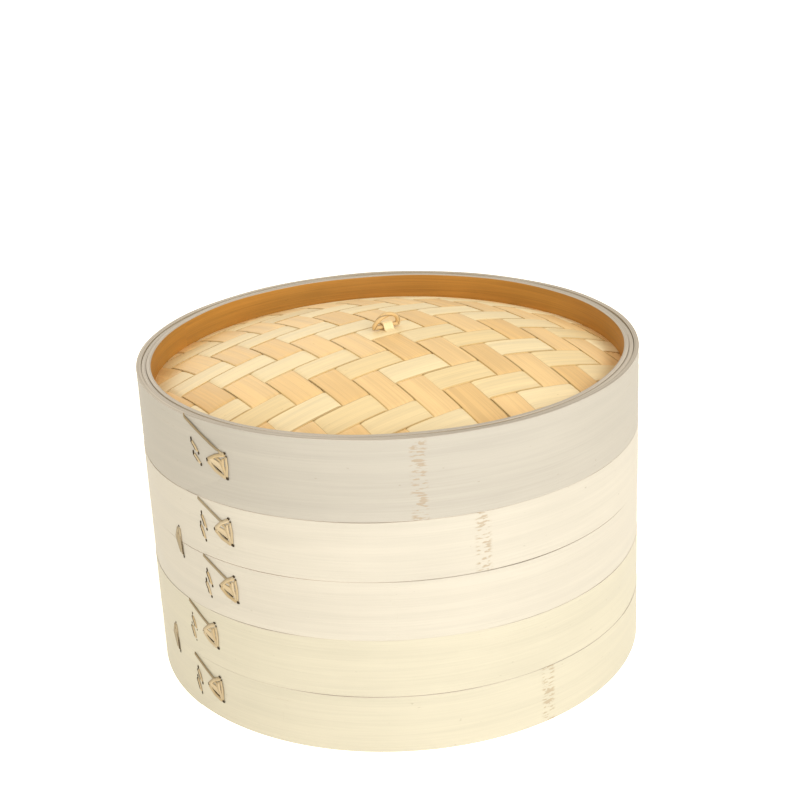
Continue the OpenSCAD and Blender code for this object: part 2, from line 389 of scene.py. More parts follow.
def bamboo(name, face, inner, edge, shift, contrast, roughness, tone_spread=0.0, bump=0.12, marks=False):
    """Split bamboo: fibres along the strip, broad streaks, specks and a darker cut edge; the edge colour is
    also painted light on the boards' slot walls and painted shade on the strands and in the loop's grooves.

    face, inner and edge are its colours, shift moves its pattern, tone_spread is how much its strips
    differ, and marks adds the bamboo's nodes.
    """
    material, tree, shader = new_material(name)
    grain = attribute(tree, "grain", "Vector")
    is_edge, is_inner, _ = split_xyz(tree, attribute(tree, "zone", "Vector"))
    fibres = noise(tree, grain, *FIBRES, shift)
    streaks = noise(tree, grain, *STREAKS, shift + 3)
    patches = noise(tree, grain, *PATCHES, shift + 9)
    mixed = calc(tree, "MULTIPLY", fibres, FIBRE_SHARE)
    mixed = calc(tree, "MULTIPLY_ADD", streaks, STREAK_SHARE, mixed)
    mixed = calc(tree, "MULTIPLY_ADD", patches, PATCH_SHARE, mixed)
    spread = ramp(tree, mixed, 0.34, 0.66)
    outer_colour = blend_colour(tree, spread, shade(face, 1 - contrast), shade(face, 1 + contrast * 0.35))
    inner_colour = blend_colour(tree, spread, shade(inner, 1 - contrast * 1.3),
                                shade(inner, 1 + contrast * 0.6))
    colour = blend_colour(tree, is_inner, outer_colour, inner_colour)
    layers = ramp(tree, noise(tree, grain, *LAYERS, shift + 5), 0.35, 0.65)
    # Where zone X is set, the edge colour takes over. This covers cut edges, painted light on the boards'
    # slot walls, and painted shade on the strands' sides and ends and in the loop's grooves.
    edge_colour = blend_colour(tree, layers, shade(edge, 0.72), shade(edge, 1.12))
    colour = blend_colour(tree, ramp(tree, is_edge, 0.25, 0.9), colour, edge_colour)
    specks = ramp(tree, noise(tree, grain, *SPECKS, shift + 13), 0.735, 0.78)
    colour = blend_colour(tree, calc(tree, "MULTIPLY", specks, 0.35), colour, shade(inner, 0.45))
    height = calc(tree, "MULTIPLY_ADD", streaks, 0.5, fibres)
    if tone_spread:
        warm = (1 - tone_spread * 0.55, 1 - tone_spread * 0.9, 1 - tone_spread * 1.6)
        warmer = blend_colour(tree, 1.0, colour, warm, "MULTIPLY")
        colour = blend_colour(tree, attribute(tree, "tone"), colour, warmer)
    if marks:
        colour, height = node_marks(tree, grain, is_inner, shift + 21, colour, height)
    tree.links.new(colour, shader.inputs["Base Color"])
    gloss = ramp(tree, mixed, 0.3, 0.7, roughness - 0.07, roughness + 0.12)
    tree.links.new(gloss, shader.inputs["Roughness"])
    add_bump(tree, shader, height, bump)
    shader.inputs["Specular IOR Level"].default_value = 0.35
    return material


HONEY = (0.93, 0.56, 0.10)
# A brighter copy of HONEY for the inside of the lower collar: painted light, making up for the shade that the
# upper tier casts into the lower one.
HONEY_PAINTED_LIGHT = (1.0, 0.70, 0.20)
# Darker honey for the inner faces of the lid's rim and filler hoops: painted shade, for the shade inside the
# back of the lid.
RIM_HONEY_PAINTED_SHADE = (0.48, 0.225, 0.04)
HIDDEN_TAN = (0.45, 0.37, 0.26)
EDGE_TAN = (0.50, 0.44, 0.365)
LID_IVORY = (0.395, 0.366, 0.315)
UPPER_IVORY = (0.50, 0.462, 0.39)
LOWER_IVORY = (0.50, 0.462, 0.36)
# The upper collar's ivory is a darker copy of the lower collar's: painted shade.
UPPER_COLLAR_IVORY_PAINTED_SHADE = (0.58, 0.555, 0.46)
LOWER_COLLAR_IVORY = (0.63, 0.60, 0.49)
COLLAR_EDGE = (0.66, 0.585, 0.42)
UPPER_LIP_TAN = (0.41, 0.335, 0.215)
LOWER_LIP_TAN = (0.28, 0.225, 0.14)
LIP_EDGE = (0.36, 0.29, 0.20)
GOLDEN_BROWN = (0.85, 0.43, 0.04)
STRAW_BROWN = (0.80, 0.52, 0.08)
# Colours of the boards' slot walls, much paler than the boards' faces: painted light, for the light from the
# floor below that comes up through the slots. The lower tier's walls are painted paler still.
SLOT_WALL_PAINTED_LIGHT_GOLD = (0.98, 0.62, 0.20)
SLOT_WALL_PAINTED_LIGHT_CREAM = (1.0, 0.95, 0.82)
# Pale cream for the inside of the lower tier's base lining, which shows through the slots: painted light, for
# the floor's light under the board.
UNDER_PAINTED_LIGHT_CREAM = (1.0, 0.93, 0.76)
RISING_CREAM = (0.90, 0.74, 0.45)
RISING_EDGE = (0.72, 0.54, 0.27)
# The falling strips are tanner than the rising ones. This is partly their own tone and partly painted shade,
# for how the light falls along their grain.
FALLING_CREAM_AND_SHADE = (0.89, 0.62, 0.30)
FALLING_EDGE = (0.70, 0.49, 0.22)
# The inner mat's honey, set as dark as it looks in the shade under the outer mat: painted shade.
BACKING_HONEY_PAINTED_SHADE = (0.72, 0.50, 0.24)
BACKING_EDGE = (0.45, 0.30, 0.12)
STRAND_STRAW = (0.55, 0.44, 0.28)
# Dark strand colour, used as far as each strand's darkness goes. It is the rattan's own darker tone, and on
# the diagonal strand mostly painted shade, for the shadow the strand casts along the lap's edge.
STRAND_DARK_AND_SHADE = (0.30, 0.245, 0.155)
# Edge colour of the strands, put on their sides and ends: painted shade.
STRAND_EDGE_PAINTED_SHADE = (0.32, 0.235, 0.125)
LOOP_TAN = (0.70, 0.48, 0.22)
LOOP_SPECK = (0.55, 0.36, 0.16)
# Dark colour in the loop's twist grooves: painted shade.
LOOP_GROOVE_PAINTED_SHADE = (0.30, 0.20, 0.10)
# Near-black for the stitch holes and for the thin dark strips beside strands: painted shade of the holes'
# insides, and painted shadow.
HOLE_PAINTED_SHADE = (0.045, 0.028, 0.012)
HOLE_EDGE_PAINTED_SHADE = (0.03, 0.02, 0.01)

BAND_LOOKS = {
    "lid": bamboo("lid_band_bamboo", LID_IVORY, HIDDEN_TAN, EDGE_TAN, 1, 0.09, 0.55, marks=True),
    "upper": bamboo("upper_band_bamboo", UPPER_IVORY, HIDDEN_TAN, EDGE_TAN, 31, 0.09, 0.5, marks=True),
    "lower": bamboo("lower_band_bamboo", LOWER_IVORY, HIDDEN_TAN, EDGE_TAN, 57, 0.09, 0.5, marks=True),
}
COLLAR_LOOKS = {
    "upper": bamboo("upper_collar_bamboo_painted_shade", UPPER_COLLAR_IVORY_PAINTED_SHADE, HONEY, COLLAR_EDGE, 93, 0.08, 0.4, marks=True),
    # The lower collar's inside takes the painted-light honey.
    "lower": bamboo("lower_collar_bamboo_painted_light", LOWER_COLLAR_IVORY, HONEY_PAINTED_LIGHT, COLLAR_EDGE, 97, 0.08, 0.4,
                    marks=True),
}
LIP_LOOKS = {
    "upper": bamboo("upper_lip_bamboo", UPPER_LIP_TAN, HIDDEN_TAN, LIP_EDGE, 111, 0.14, 0.5),
    "lower": bamboo("lower_lip_bamboo", LOWER_LIP_TAN, HIDDEN_TAN, LIP_EDGE, 117, 0.14, 0.5),
}
FOOT_LOOKS = {
    "upper": bamboo("upper_foot_bamboo", HIDDEN_TAN, GOLDEN_BROWN, EDGE_TAN, 81, 0.16, 0.55),
    # The lower base lining is painted light on its inside.
    "lower": bamboo("lower_foot_bamboo_painted_light", HIDDEN_TAN, UNDER_PAINTED_LIGHT_CREAM, EDGE_TAN, 83, 0.10, 0.55),
}
BOARD_LOOKS = {
    # The edge colour of each board is the painted light on its slot walls.
    "upper": bamboo("upper_board_bamboo_painted_light", GOLDEN_BROWN, GOLDEN_BROWN, SLOT_WALL_PAINTED_LIGHT_GOLD, 151, 0.34, 0.45, 0.22),
    "lower": bamboo("lower_board_bamboo_painted_light", STRAW_BROWN, STRAW_BROWN, SLOT_WALL_PAINTED_LIGHT_CREAM, 157, 0.26, 0.45, 0.22),
}
LINING_LOOK = bamboo("lining_bamboo", HIDDEN_TAN, HONEY, EDGE_TAN, 77, 0.16, 0.55)
RIM_PAINTED_SHADE_LOOK = bamboo("rim_bamboo_painted_shade", HIDDEN_TAN, RIM_HONEY_PAINTED_SHADE, EDGE_TAN, 131, 0.18, 0.45)
BATTEN_LOOK = bamboo("batten_bamboo", HONEY, HONEY, EDGE_TAN, 171, 0.2, 0.6)
RISING_LOOK = bamboo("weave_rising_bamboo", RISING_CREAM, HONEY, RISING_EDGE, 191, 0.15, 0.42, 0.16, 0.1)
FALLING_LOOK = bamboo("weave_falling_bamboo", FALLING_CREAM_AND_SHADE, HONEY, FALLING_EDGE, 211, 0.17, 0.42, 0.18, 0.1)
BACKING_PAINTED_SHADE_LOOK = bamboo("weave_inner_bamboo_painted_shade", BACKING_HONEY_PAINTED_SHADE, HONEY, BACKING_EDGE, 231, 0.2, 0.5, 0.3, 0.1)
STRAND_LOOK = bamboo("strand_rattan_painted_shade", STRAND_STRAW, STRAND_DARK_AND_SHADE, STRAND_EDGE_PAINTED_SHADE, 251, 0.35, 0.55, 0.2, 0.3)
LOOP_LOOK = bamboo("loop_rattan", LOOP_TAN, LOOP_SPECK, LOOP_GROOVE_PAINTED_SHADE, 271, 0.3, 0.5, bump=0.35)
HOLE_PAINTED_SHADE_LOOK = bamboo("stitch_hole_painted_shade", HOLE_PAINTED_SHADE, HOLE_PAINTED_SHADE, HOLE_EDGE_PAINTED_SHADE, 291, 0.4, 0.9)


# ---------------------------------------------------------------- hoops of a tier

# Directions of the bamboo's node marks, in degrees in the tier's own frame
NODE_MARKS = {
    ("upper", "base_band"): (28, 150),
    ("upper", "upper_band"): (-72, 48, 168),
    ("upper", "collar_hoop"): (-66.7, 53, 173),
    ("lower", "base_band"): (-49.5, 70, 190),
    ("lower", "upper_band"): (25, 145),
    ("lower", "collar_hoop"): (60, 170),
}
LID_NODE_MARKS = (-85, 35, 155)
END_STEP = 0.22 * MM
TIER_TIP_AZ = LASHING_AZ + 11 * MM / BAND_OUT
LID_TIP_AZ = LASHING_AZ + 12 * MM / BAND_OUT
SEAM_GAP = 0.05 * MM
BAND_CORNER = 0.2 * MM


def lapped_end(tip_az, end):
    """What a hoop with a visible pointed end needs."""
    return {"end_az": tip_az, "end": end, "step": END_STEP, "corner": BAND_CORNER}


# Where the plain ends of the other hoops meet
LAP_AZ = {
    "base_lining": 1.9, "upper_lining": 0.6, "lip_hoop": COLLAR_STITCH_AZ + 0.03, "collar_hoop": 2.4,
    "skirt": 2.0, "filler": 0.9, "rim": 2.7,
}


def tier_hoops(tier):
    """Every hoop of one tier, in its place."""
    band, lapped = BAND_LOOKS[tier], lapped_end(TIER_TIP_AZ, TIER_END)
    rows = (
        # strip's name, CAD node, slot, look, outer radius, wall, lowest and highest level
        ("base_band", "base_band", "band", band, BAND_OUT, BAND_WALL, 0, SEAM - SEAM_GAP),
        ("upper_band", "upper_band", "band", band, BAND_OUT, BAND_WALL, SEAM + SEAM_GAP, SHOULDER),
        ("base_lining", "base_lining", "lining", FOOT_LOOKS[tier], LINING_OUT, LINING_WALL,
         LINING_LOW, LEDGE_LOW),
        ("upper_lining", "upper_lining", "lining", LINING_LOOK, LINING_OUT, LINING_WALL,
         BOARD_TOP, SHOULDER - 0.1 * MM),
        ("lip", "lip_hoop", "collar", LIP_LOOKS[tier], LIP_OUT, LIP_WALL, BOARD_TOP, LIP_TOP),
        ("collar", "collar_hoop", "collar", COLLAR_LOOKS[tier], COLLAR_OUT, COLLAR_WALL,
         BOARD_TOP, COLLAR_TOP),
    )
    for name, node, slot, look, out_r, wall, low, high in rows:
        ends = {"end_az": LAP_AZ[node]} if node in LAP_AZ else lapped
        hoop(f"{tier}_{name}_strip", f"{tier}_tier", f"{tier}_{node}", slot, look, out_r, wall, low, high,
             lift=LIFTS[tier], turn=TURNS[tier], marks=NODE_MARKS.get((tier, node), ()), **ends)


# ---------------------------------------------------------------- floor

BOARD_BEVEL = 1.0 * MM
BOARD_HALF = (BOARD_TOP - BOARD_LOW) / 2
# Moves the grain along the board, so that the two boards differ
GRAIN_MOVE = {"lower": 0.0, "upper": 0.4}


def add_outline(curve, points):
    spline = curve.splines.new("POLY")
    spline.points.add(len(points) - 1)
    for point, (x, y) in zip(spline.points, points):
        point.co = (x, y, 0, 1)
    spline.use_cyclic_u = True


def add_slot(curve, x0, x1, y):
    """Adds one slot's outline, with round ends, to a flat curve."""
    radius = SLOT_W / 2
    points = []
    for centre, start in ((x1 - radius, -90), (x0 + radius, 90)):
        for a in np.linspace(start, start + 180, 13):
            points.append((centre + radius * math.cos(math.radians(a)),
                           y + radius * math.sin(math.radians(a))))
    add_outline(curve, points)


def board_curve():
    """The board's outline and its slots, as a flat curve with thickness and eased edges."""
    curve = bpy.data.curves.new("board_outline", "CURVE")
    curve.dimensions = "2D"
    curve.fill_mode = "BOTH"
    curve.extrude = BOARD_HALF - BOARD_BEVEL
    curve.bevel_depth = BOARD_BEVEL
    curve.bevel_resolution = 3
    curve.offset = -BOARD_BEVEL
    round_trip = np.linspace(0, 2 * math.pi, 181)[:-1]
    add_outline(curve, [(BOARD_R * math.cos(a), BOARD_R * math.sin(a)) for a in round_trip])
    inner_x = MID_SLOT / 2 + BRIDGE
    for row in range(SLOT_ROWS):
        for side in (-1, 1):
            y = side * (row + 0.5) * SLOT_PITCH
            outer_x = math.sqrt(SLOT_FIELD_R ** 2 - y * y)
            add_slot(curve, -MID_SLOT / 2, MID_SLOT / 2, y)
            if outer_x - inner_x > SHORTEST_SLOT:
                add_slot(curve, inner_x, outer_x, y)
                add_slot(curve, -outer_x, -inner_x, y)
    return curve


def plank_tones(y):
    """A spread-out shade from 0 to 1 for each plank of the board, one plank to a row of slots."""
    plank = np.floor(y / SLOT_PITCH + 0.5)
    return (np.sin(plank * 12.9898 + 5) * 43758.5453) % 1.0


def floor_board(tier):
    """The round board with its routed slots."""
    maker = bpy.data.objects.new("board_outline", board_curve())
    bpy.context.scene.collection.objects.link(maker)
    bpy.context.view_layer.update()
    depsgraph = bpy.context.evaluated_depsgraph_get()
    made = bpy.data.meshes.new_from_object(maker.evaluated_get(depsgraph))
    bpy.data.objects.remove(maker)
    verts = np.array([v.co for v in made.vertices])
    faces = [tuple(p.vertices) for p in made.polygons]
    bpy.data.meshes.remove(made)
    zone = np.zeros((len(verts), 3))
    # Zone X marks the slot walls and, partly, their bevels. These take the pale edge colour, which is painted
    # light from below.
    zone[:, 0] = np.clip((BOARD_HALF - np.abs(verts[:, 2])) / BOARD_BEVEL, 0, 1)
    grain = verts + (GRAIN_MOVE[tier], 0, 0)
    turned = verts @ np.array(Matrix.Rotation(SLOT_AZ + TURNS[tier], 3, "Z")).T
    turned[:, 2] += (BOARD_LOW + BOARD_TOP) / 2 + LIFTS[tier]
    make_piece(f"{tier}_slotted_board", turned.tolist(), faces, f"{tier}_tier", [f"{tier}_floor_board"],
               BOARD_LOOKS[tier], grain, zone, plank_tones(verts[:, 1]), smooth=False)


BATTEN_EASE = 0.6 * MM
BATTEN_STATIONS = 40


def batten(tier, label, centre_x):
    """A flat bar with eased edges under the board, along its solid strip at centre_x."""
    low, high = BOARD_LOW - BATTEN_H + LIFTS[tier], BOARD_LOW + LIFTS[tier]
    half_w, c = BATTEN_W / 2, BATTEN_EASE
    half_len = math.sqrt((LINING_OUT - 0.5 * MM) ** 2 - (abs(centre_x) + half_w) ** 2)
    section = [(-half_w + c, low), (half_w - c, low), (half_w, low + c), (half_w, high - c),
               (half_w - c, high), (-half_w + c, high), (-half_w, high - c), (-half_w, low + c)]
    turn = Matrix.Rotation(SLOT_AZ + TURNS[tier], 3, "Z")
    verts, grain = [], []
    for y in np.linspace(-half_len, half_len, BATTEN_STATIONS):
        for x, z in section:
            verts.append(turn @ Vector((centre_x + x, y, z)))
            grain.append((y, x + centre_x * 7, z))
    m, last = len(section), (BATTEN_STATIONS - 1) * len(section)
    faces = [(k * m + i, k * m + (i + 1) % m, (k + 1) * m + (i + 1) % m, (k + 1) * m + i)
             for k in range(BATTEN_STATIONS - 1) for i in range(m)]
    faces += [tuple(range(m - 1, -1, -1)), tuple(range(last, last + m))]
    make_piece(f"{tier}_{label}_batten", verts, faces, f"{tier}_tier", [f"{tier}_floor_battens"],
               BATTEN_LOOK, grain, np.zeros((len(verts), 3)), smooth=False)


# ---------------------------------------------------------------- lashings

STRAND_THICK = 0.8 * MM
STRAND_STATIONS = 14
STRAND_SIDES = 8
STRAND_SINK = 0.9 * MM
END_DIVE = 0.9 * MM
HOLE_SIDES = 12
HOLE_PROUD = 0.15 * MM
# A hole's lens, out from its face: its middle, its rim and its back
HOLE_LENS = (0.10 * MM, -0.05 * MM, -0.4 * MM)
LASHED_FACE = BAND_OUT + END_STEP * 0.6


def on_face(az, u, z, r):
    """The point at distance u round from az, on a face of radius r."""
    a = az + u / r
    return (r * math.cos(a), r * math.sin(a), z)


def strand_on_face(points, width, face_r):
    """A flat strand's rings and grain, from (distance round, level) points. Its ends dive into the wall."""
    path = [np.array(p) for p in points]
    lengths = [np.linalg.norm(b - a) for a, b in zip(path, path[1:])]
    total = sum(lengths)
    dive = min(END_DIVE, total * 0.2)
    rings, grain = [], []
    for k in range(STRAND_STATIONS + 1):
        s = total * k / STRAND_STATIONS
        left = s
        for (a, b), length in zip(zip(path, path[1:]), lengths):
            if left <= length or length is lengths[-1]:
                break
            left -= length
        along = (b - a) / length
        here = a + along * left
        side = np.array((-along[1], along[0]))
        near_end = min(s, total - s) / dive
        sink = STRAND_SINK * (1 - min(1.0, near_end)) ** 2
        ring = []
        for j in range(STRAND_SIDES):
            angle = 2 * math.pi * j / STRAND_SIDES
            across, out = width / 2 * math.cos(angle), STRAND_THICK / 2 * math.sin(angle)
            u, z = here + side * across
            ring.append((u, z, face_r + STRAND_THICK * 0.35 - sink + out))
            grain.append((s, across, out))
        rings.append(ring)
    return rings, grain


def wrap_strands(name, body, nodes, strands, az, top_z, face_r, look=STRAND_LOOK):
    """All strands of one lashing, from (points, width, darkness) rows, on a face of radius face_r."""
    verts, faces, grain, zone, tone = [], [], [], [], []
    for points, width, dark in strands:
        rings, along = strand_on_face(points, width, face_r)
        start = len(verts)
        strand_tone = rng.random()
        for k, ring in enumerate(rings):
            # The strand's sides, and its ends where it dives into a hole, take the dark edge colour. This is
            # painted shade, for the crease beside the round strand and the hole it dives into.
            end_shade = 0.6 if k in (0, len(rings) - 1) else 0.0
            for j, (u, z, r) in enumerate(ring):
                verts.append(on_face(az, u, top_z + z, r))
                side = 0.8 * math.cos(2 * math.pi * j / STRAND_SIDES) ** 4
                zone.append((max(end_shade, side), dark, 0.0))
        grain += along
        tone += [strand_tone] * (len(verts) - start)
        faces += tube_faces(len(rings), STRAND_SIDES, start)
    make_piece(name, verts, faces, body, nodes, look, grain, zone, tone)


def stitch_holes(name, body, places, az, top_z, face_r):
    """The holes that the strands go through, as shallow near-black lenses on the face: painted shade of the
    holes' insides.
    """
    middle, rim, back = HOLE_LENS
    verts, faces, grain = [], [], []
    for u0, z0, half_u, half_z in places:
        start = len(verts)
        verts.append(on_face(az, u0, top_z + z0, face_r + middle))
        for j in range(HOLE_SIDES):
            a = 2 * math.pi * j / HOLE_SIDES
            wobble = rng.uniform(0.85, 1.15)
            verts.append(on_face(az, u0 + half_u * wobble * math.cos(a),
                                 top_z + z0 + half_z * wobble * math.sin(a), face_r + rim))
        verts.append(on_face(az, u0, top_z + z0, face_r + back))
        for j in range(HOLE_SIDES):
            a, b = start + 1 + j, start + 1 + (j + 1) % HOLE_SIDES
            faces.append((start, a, b))
            faces.append((start + HOLE_SIDES + 1, b, a))
        grain += [(u0 + i * 0.1 * MM, z0, 0.0) for i in range(HOLE_SIDES + 2)]
    make_piece(name, verts, faces, body, [], HOLE_PAINTED_SHADE_LOOK, grain, np.zeros((len(verts), 3)))


# A lashing's places in mm: distance round the band from its centre, and level from the band's top edge
TIER_LASHING = {
    "start": (-9.9, -0.3), "bend": (6.4, -9.0), "top": (10.7, -6.7), "tip": (1.4, -14.0),
    "foot": (11.8, -19.4),
    "stitches": (((-7.5, -7.8), (-4.5, -15.6)), ((-8.8, -13.4), (-5.8, -21.7))),
}
LID_LASHING = {
    "start": (-14.8, -0.3), "bend": (8.6, -12.9), "top": (11.9, -13.6), "tip": (0.7, -19.0),
    "foot": (12.3, -25.5),
    "stitches": (((-10.0, -11.0), (-5.3, -17.0)), ((-9.1, -17.4), (-4.1, -22.4))),
}


def between(a, b, t, u=0.0, z=0.0):
    """The place a fraction t of the way from a to b, moved by (u, z) mm."""
    return a + (b - a) * t + np.array((u, z)) * MM


def beside(a, u=0.0, z=0.0):
    """The place a, moved by (u, z) mm."""
    return between(a, a, 0, u, z)


def band_lashing(name, body, node, az, top_z, places):
    """Diagonal strand, leaf-shaped knot of loose strands, and two slanting stitches, with their holes as dark
    lenses of painted shade, and thin dark strips of painted shadow beside the strands.
    """
    start, bend, top, tip, foot = (np.array(places[k]) * MM for k in ("start", "bend", "top", "tip", "foot"))
    # Each strand's course, width in mm and darkness; the diagonal strand's darkness is mostly painted shade
    strands = [
        ([start, between(start, bend, 0.5, 0, 0.1), beside(bend, 0.4, -0.3)], 1.35, 0.9),
        ([beside(bend, -0.2), between(bend, top, 0.5, 0.3, -0.4), top], 1.3, 0.5),
        ([between(tip, foot, 0.05, 0.6, 1.0), between(tip, foot, 0.45, 1.4, 2.2),
          between(top, foot, 0.7, -0.6)], 3.6, 0.0),
        ([beside(top, 0.2, -0.4), between(top, tip, 0.5, 0.1, 0.7), beside(tip, 0.1, 0.2)], 1.9, 0.2),
        ([beside(top, 0.8, -1.1), between(top, foot, 0.5, 1.0), beside(foot, 0.1, 0.2)], 1.5, 0.25),
        ([between(top, foot, 0.15, -1.1, -0.5), between(top, foot, 0.5, -1.4, -0.3),
          beside(foot, -0.2, 0.5)], 1.7, 0.0),
        ([tip, between(tip, foot, 0.5, -0.6, -0.9), beside(foot, -0.3, -0.1)], 2.0, 0.2),
        ([between(top, tip, 0.55, 0.4, 0.2), between(top, foot, 0.35, -3.0, 0.4),
          between(top, foot, 0.8, -0.9)], 1.5, 0.35),
    ]
    # A thin dark strip along the knot's strands: painted shadow.
    painted_shadow_slits = [([between(tip, foot, 0.13, 0.5, 0.9), between(tip, foot, 0.45, 0.3, 0.9),
               between(tip, foot, 0.78, 0.2, 0.7)], 0.5, 0.0)]
    # Each hole's place, its move and its half sizes, in mm
    holes = [(top, 0.1, 0.3, 0.95, 0.65), (top, 1.1, -1.4, 0.5, 0.9), (tip, -0.3, 0.0, 0.6, 1.0),
             (foot, 0.3, -0.3, 1.0, 0.8)]
    for high, low in np.array(places["stitches"]) * MM:
        strands.append(([between(high, low, 0.12), between(high, low, 0.5, 0.35), between(high, low, 0.97)],
                        1.2, 0.1))
        # A thin dark strip beside each stitch: painted shadow.
        painted_shadow_slits.append(([between(high, low, 0.1, -0.7), between(high, low, 0.55, -0.55),
                       between(high, low, 0.9, -0.7)], 0.35, 0.0))
        holes += [(high, 0.1, -0.2, 0.6, 1.1), (low, 0.1, -0.2, 0.65, 0.9)]
    strands, painted_shadow_slits = ([(course, width * MM, dark) for course, width, dark in rows]
                      for rows in (strands, painted_shadow_slits))
    hole_places = [(*beside(place, u, z), half_u * MM, half_z * MM) for place, u, z, half_u, half_z in holes]
    wrap_strands(name, body, [node], strands, az, top_z, LASHED_FACE)
    wrap_strands(f"{name}_slits", body, [], painted_shadow_slits, az, top_z, LASHED_FACE + 0.02 * MM, HOLE_PAINTED_SHADE_LOOK)
    stitch_holes(f"{name}_holes", body, hole_places, az, top_z, LASHED_FACE + HOLE_PROUD)


SEAM_REACH = 7.5 * MM


def seam_stitch(tier):
    """The spindle of strands that ties the bands across their seam, with the slit beside it, a thin dark
    strip of painted shadow.
    """
    name, body = f"{tier}_seam", f"{tier}_tier"
    az, level = SEAM_STITCH_AZ + TURNS[tier], SEAM + LIFTS[tier]
    reach = SEAM_REACH
    strands = [
        ([(-0.9 * MM, reach), (-3.8 * MM, 1.2 * MM), (0.2 * MM, -reach * 0.9)], 1.7 * MM, 0.8),
        ([(0.1 * MM, reach), (0.7 * MM, 0), (1.2 * MM, -reach)], 1.9 * MM, 0.6),
        ([(-1.8 * MM, reach * 0.55), (-1.6 * MM, 0), (0.2 * MM, -reach * 0.6)], 2.2 * MM, 0.75),
    ]
    painted_shadow_slits = [([(0.9 * MM, reach * 0.5), (1.5 * MM, -reach * 0.2), (1.9 * MM, -reach * 0.95)],
              0.35 * MM, 0.0)]
    holes = [(-0.4 * MM, reach + 0.3 * MM, 0.7 * MM, 0.6 * MM),
             (1.8 * MM, -reach - 0.2 * MM, 0.7 * MM, 1.0 * MM)]
    wrap_strands(f"{name}_strands", body, [f"{name}_stitch"], strands, az, level, LASHED_FACE)
    wrap_strands(f"{name}_slit", body, [], painted_shadow_slits, az, level, LASHED_FACE, HOLE_PAINTED_SHADE_LOOK)
    stitch_holes(f"{name}_holes", body, holes, az, level, LASHED_FACE + HOLE_PROUD)


def collar_stitch(tier):
    """The two strands that close the lip hoop, and the end of the hoop between them, drawn as a thin dark
    strip of painted shade.
    """
    name, body = f"{tier}_collar", f"{tier}_tier"
    az, level = COLLAR_STITCH_AZ + TURNS[tier], SHOULDER + LIFTS[tier]
    low, high = -5.5 * MM, LIP_TOP - SHOULDER - 1.2 * MM
    strands = [([((x - 0.4) * MM, low), ((x + 0.5) * MM, high)], 1.3 * MM, 0.3) for x in (-1.9, 1.9)]
    painted_shadow_slits = [([(-1.6 * MM, 0.4 * MM), (0.2 * MM, high * 0.5), (2.0 * MM, high * 0.95)], 0.7 * MM, 0.0)]
    wrap_strands(f"{name}_strands", body, [f"{name}_stitch"], strands, az, level, LIP_OUT - 0.35 * MM)
    wrap_strands(f"{name}_slit", body, [], painted_shadow_slits, az, level, LIP_OUT - 0.3 * MM, HOLE_PAINTED_SHADE_LOOK)


def tier_lashings(tier):
    """Every lashing and stitch of one tier."""
    az = LASHING_AZ + TURNS[tier]
    for part, level in (("base", SEAM), ("upper", SHOULDER)):
        name = f"{tier}_{part}"
        band_lashing(f"{name}_strands", f"{tier}_tier", f"{name}_lashing", az, level + LIFTS[tier],
                     TIER_LASHING)
    seam_stitch(tier)
    collar_stitch(tier)


# ---------------------------------------------------------------- lid

# The two mats of the dome. A strip passes over as many strips as it then passes under, gap is between
# two strips, and depth is from the crown's top to the middle of the mat.
OUTER_MAT = {"az": WEAVE_AZ, "pitch": 15.6 * MM, "gap": 0.5 * MM, "thick": 0.5 * MM, "lift": 0.45 * MM,
             "depth": 0.78 * MM, "over": 2}
INNER_MAT = {"az": WEAVE_AZ + 0.6, "pitch": 19 * MM, "gap": 1.0 * MM, "thick": 0.4 * MM,
             "lift": 0.3 * MM, "depth": 2.1 * MM, "over": 1}
PITCH_SPREAD = 0.06
STRIP_STEP = 1.1 * MM
NARROWEST_STRIP = 2.5 * MM
STRIP_CROWN = 0.08 * MM
# How far a strip takes to pass under another along its course, and across it
DIVE_REACH = 1.9 * MM
SIDE_REACH = 0.55 * MM
# Points across a strip, from one edge to the other, and from where they are its cut edge
ACROSS = np.array((-1.0, -0.985, -0.88, -0.5, 0.0, 0.5, 0.88, 0.985, 1.0))
CUT_EDGE = 0.97


def strip_edges(pitch):
    """Places of the edges between the strips of one set, with strips of uneven width."""
    edges = [-WEAVE_R - pitch * rng.uniform(0.6, 1.0)]
    while edges[-1] < WEAVE_R:
        edges.append(edges[-1] + pitch * rng.uniform(1 - PITCH_SPREAD, 1 + PITCH_SPREAD))
    return np.array(edges)


def nearest_edge(places, edges, reach):
    """The cell before each place's nearest edge, and how far the place has crossed it, from 0 to 1."""
    cell = np.clip(np.searchsorted((edges[1:] + edges[:-1]) / 2, places), 0, len(edges) - 1)
    t = np.clip((places - edges[cell]) / (2 * reach) + 0.5, 0, 1)
    return cell - 1, t * t * (3 - 2 * t)


def lay(x, y, x_edges, y_edges, x_reach, y_reach, over):
    """1 where the set along X lies on top, -1 where it lies below, and between them at strips' edges."""
    j, tx = nearest_edge(x, x_edges, x_reach)
    i, ty = nearest_edge(y, y_edges, y_reach)

    def sign(row, column):
        return np.where((row + column) % (2 * over) < over, 1.0, -1.0)

    before = sign(i, j) * (1 - tx) + sign(i, j + 1) * tx
    after = sign(i + 1, j) * (1 - tx) + sign(i + 1, j + 1) * tx
    return before * (1 - ty) + after * ty


